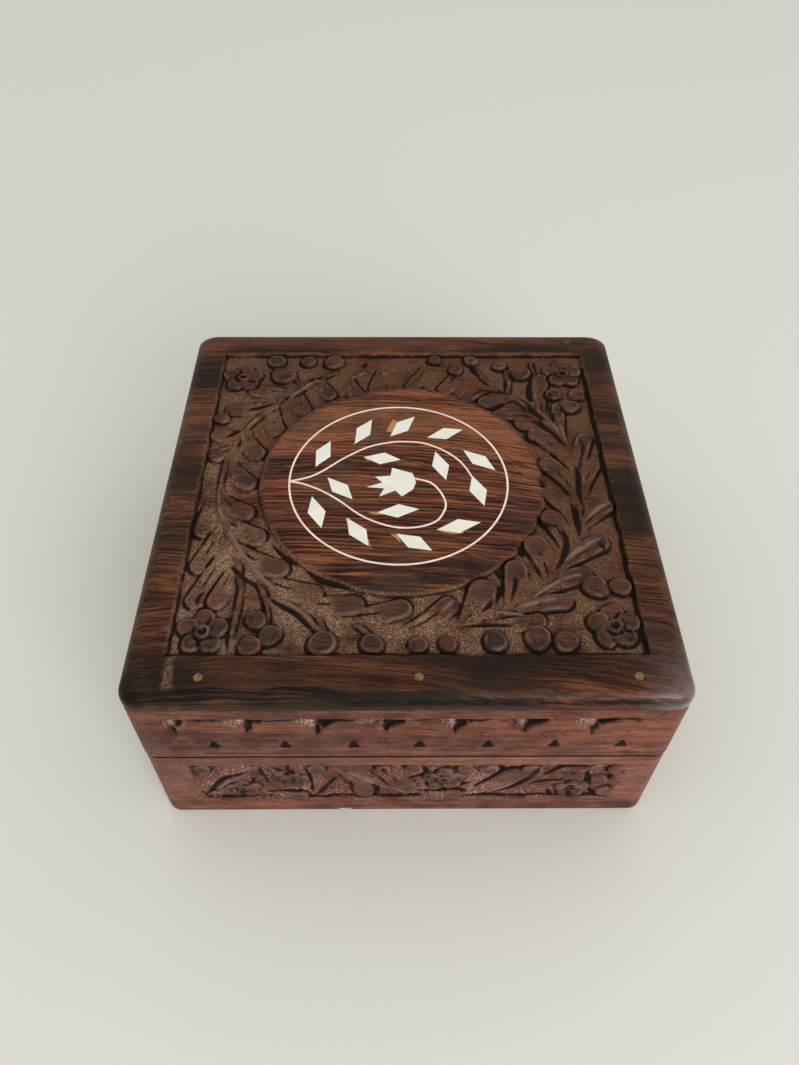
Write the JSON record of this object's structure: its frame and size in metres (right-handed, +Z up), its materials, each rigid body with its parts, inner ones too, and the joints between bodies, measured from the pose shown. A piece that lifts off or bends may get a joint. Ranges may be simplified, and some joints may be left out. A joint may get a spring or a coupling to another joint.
{
  "type": "rosary box",
  "caption": "Square carved rosewood keepsake box with a hinged lid, carved leaf field and bands, and a ring of inlaid stem, leaves and flower on the lid.",
  "frame": {"origin": "centre of the underside, on the surface the box stands on", "axes": "+X to the right seen from the front, +Y towards the hinges at the back, +Z up"},
  "size_m": [0.152, 0.155, 0.071],
  "materials": {
    "rosewood": "satin wax over dark rosewood",
    "inlay_strip": "satin, cream strip",
    "inlay_bone": "satin, off-white bone",
    "dowel_wood": "end grain, waxed",
    "velvet": "short pile velvet on card",
    "brass": "aged brass",
    "steel": "plain wire steel"
  },
  "bodies": {
    "base": {"base_front_wall": "rosewood", "base_back_wall": "rosewood", "base_left_wall": "rosewood", "base_right_wall": "rosewood", "base_bottom_board": "rosewood", "bottom_brads": "steel", "base_lining_floor": "velvet", "base_lining_front": "velvet", "base_lining_back": "velvet", "base_lining_left": "velvet", "base_lining_right": "velvet", "left_hinge_base_leaf": "brass", "right_hinge_base_leaf": "brass", "base_hinge_screws": "brass", "left_hinge_pin": "steel", "right_hinge_pin": "steel"},
    "lid": {"lid_top_board": "rosewood", "lid_front_rail": "rosewood", "lid_back_rail": "rosewood", "lid_left_rail": "rosewood", "lid_right_rail": "rosewood", "inlay_ring": "inlay_strip", "inlay_outer_stem": "inlay_strip", "inlay_inner_stem": "inlay_strip", "inlay_flower": "inlay_bone", "inlay_leaves": "inlay_bone", "lid_pegs": "dowel_wood", "lid_lining_top": "velvet", "lid_lining_front": "velvet", "lid_lining_back": "velvet", "lid_lining_left": "velvet", "lid_lining_right": "velvet", "left_hinge_lid_leaf": "brass", "right_hinge_lid_leaf": "brass", "lid_hinge_screws": "brass"}
  },
  "joints": [
    {"name": "lid_hinge", "type": "hinge", "parent": "base", "child": "lid", "pos_m": [0, 0.07535, 0.0371], "axis": [-1, 0, 0], "range_deg": [0, 100]}
  ]
}
